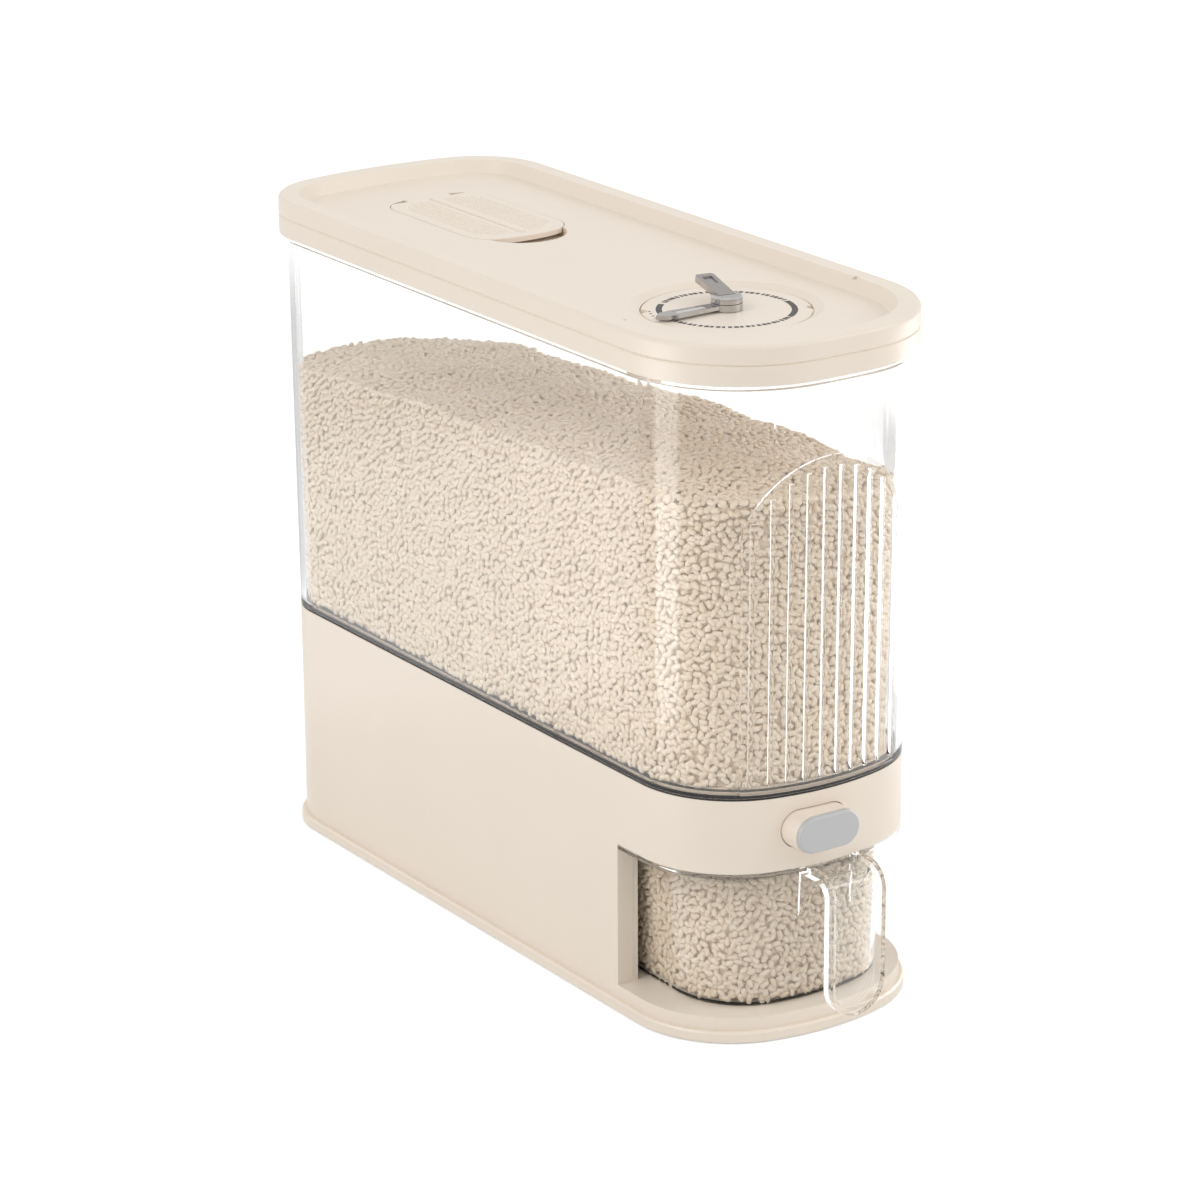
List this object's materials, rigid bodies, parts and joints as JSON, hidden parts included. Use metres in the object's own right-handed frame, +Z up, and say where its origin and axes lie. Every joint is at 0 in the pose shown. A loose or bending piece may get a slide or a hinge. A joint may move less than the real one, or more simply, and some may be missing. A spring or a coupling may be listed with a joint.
{
  "type": "rice dispenser",
  "caption": "Free-standing rice dispenser: clear hopper on a base, push-button slide valve, pull-out measuring cup with hook handle, and a lift-off lid with hatch and date dial.",
  "frame": {"origin": "centre of the footprint, handle included, on the surface that the feet stand on", "axes": "+Z up; -Y is the front, where the cup pulls out; +Y is the rear; +X is the right-hand side seen from the front"},
  "size_m": [0.153, 0.4182, 0.3457],
  "materials": {
    "shell_plastic": "satin warm beige moulded plastic",
    "inner_plastic": "matt moulded plastic",
    "button_grey": "satin grey plastic",
    "clear_plastic": "polished clear moulded plastic",
    "plated_plastic": "bright plated plastic",
    "foot_rubber": "matt",
    "seal_rubber": "soft matt",
    "screw_steel": "zinc plated",
    "spring_steel": "drawn wire",
    "pin_steel": "smooth"
  },
  "bodies": {
    "base": {"rubber_feet": "foot_rubber", "plinth": "shell_plastic", "plinth_screws": "screw_steel", "rear_housing": "shell_plastic", "drawer_bay": "shell_plastic", "front_band": "shell_plastic", "band_screws": "screw_steel", "funnel": "inner_plastic", "gate_frame": "inner_plastic", "gate_screws": "screw_steel", "hopper_seal": "seal_rubber", "hopper": "clear_plastic", "return_spring_left": "spring_steel", "return_spring_right": "spring_steel"},
    "valve": {"shutter": "inner_plastic", "push_link": "inner_plastic", "button_shell": "shell_plastic", "button_face": "button_grey"},
    "lid": {"lid_ring": "shell_plastic", "lid_top": "shell_plastic", "lid_seal": "seal_rubber", "desiccant_box": "inner_plastic", "hatch_pin": "pin_steel", "dial_disc": "shell_plastic", "dial_spindle": "pin_steel", "spindle_washer": "pin_steel"},
    "hatch": {"hatch_cover": "shell_plastic"},
    "lower_pointer": {"lower_hand": "plated_plastic"},
    "upper_pointer": {"upper_hand": "plated_plastic"},
    "cup": {"measuring_cup": "clear_plastic"}
  },
  "joints": [
    {"name": "button_press", "type": "slide", "parent": "base", "child": "valve", "axis": [0, 1, 0], "range_m": [0, 0.0105], "stiffness_N_per_m": 250, "springref_m": -0.004, "deforming": ["return_spring_left", "return_spring_right"]},
    {"name": "cup_pull", "type": "slide", "parent": "base", "child": "cup", "axis": [0, -1, 0], "range_m": [0, 0.15]},
    {"name": "lid_lift", "type": "slide", "parent": "base", "child": "lid", "axis": [0, 0, 1], "range_m": [0, 0.12]},
    {"name": "hatch_open", "type": "hinge", "parent": "lid", "child": "hatch", "pos_m": [0, 0.1554, 0.3353], "axis": [-1, 0, 0], "range_deg": [0, 75]},
    {"name": "lower_hand_turn", "type": "hinge", "parent": "lid", "child": "lower_pointer", "pos_m": [0, -0.1056, 0.336], "axis": [0, 0, 1], "continuous": true},
    {"name": "upper_hand_turn", "type": "hinge", "parent": "lid", "child": "upper_pointer", "pos_m": [0, -0.1056, 0.3395], "axis": [0, 0, 1], "continuous": true}
  ]
}
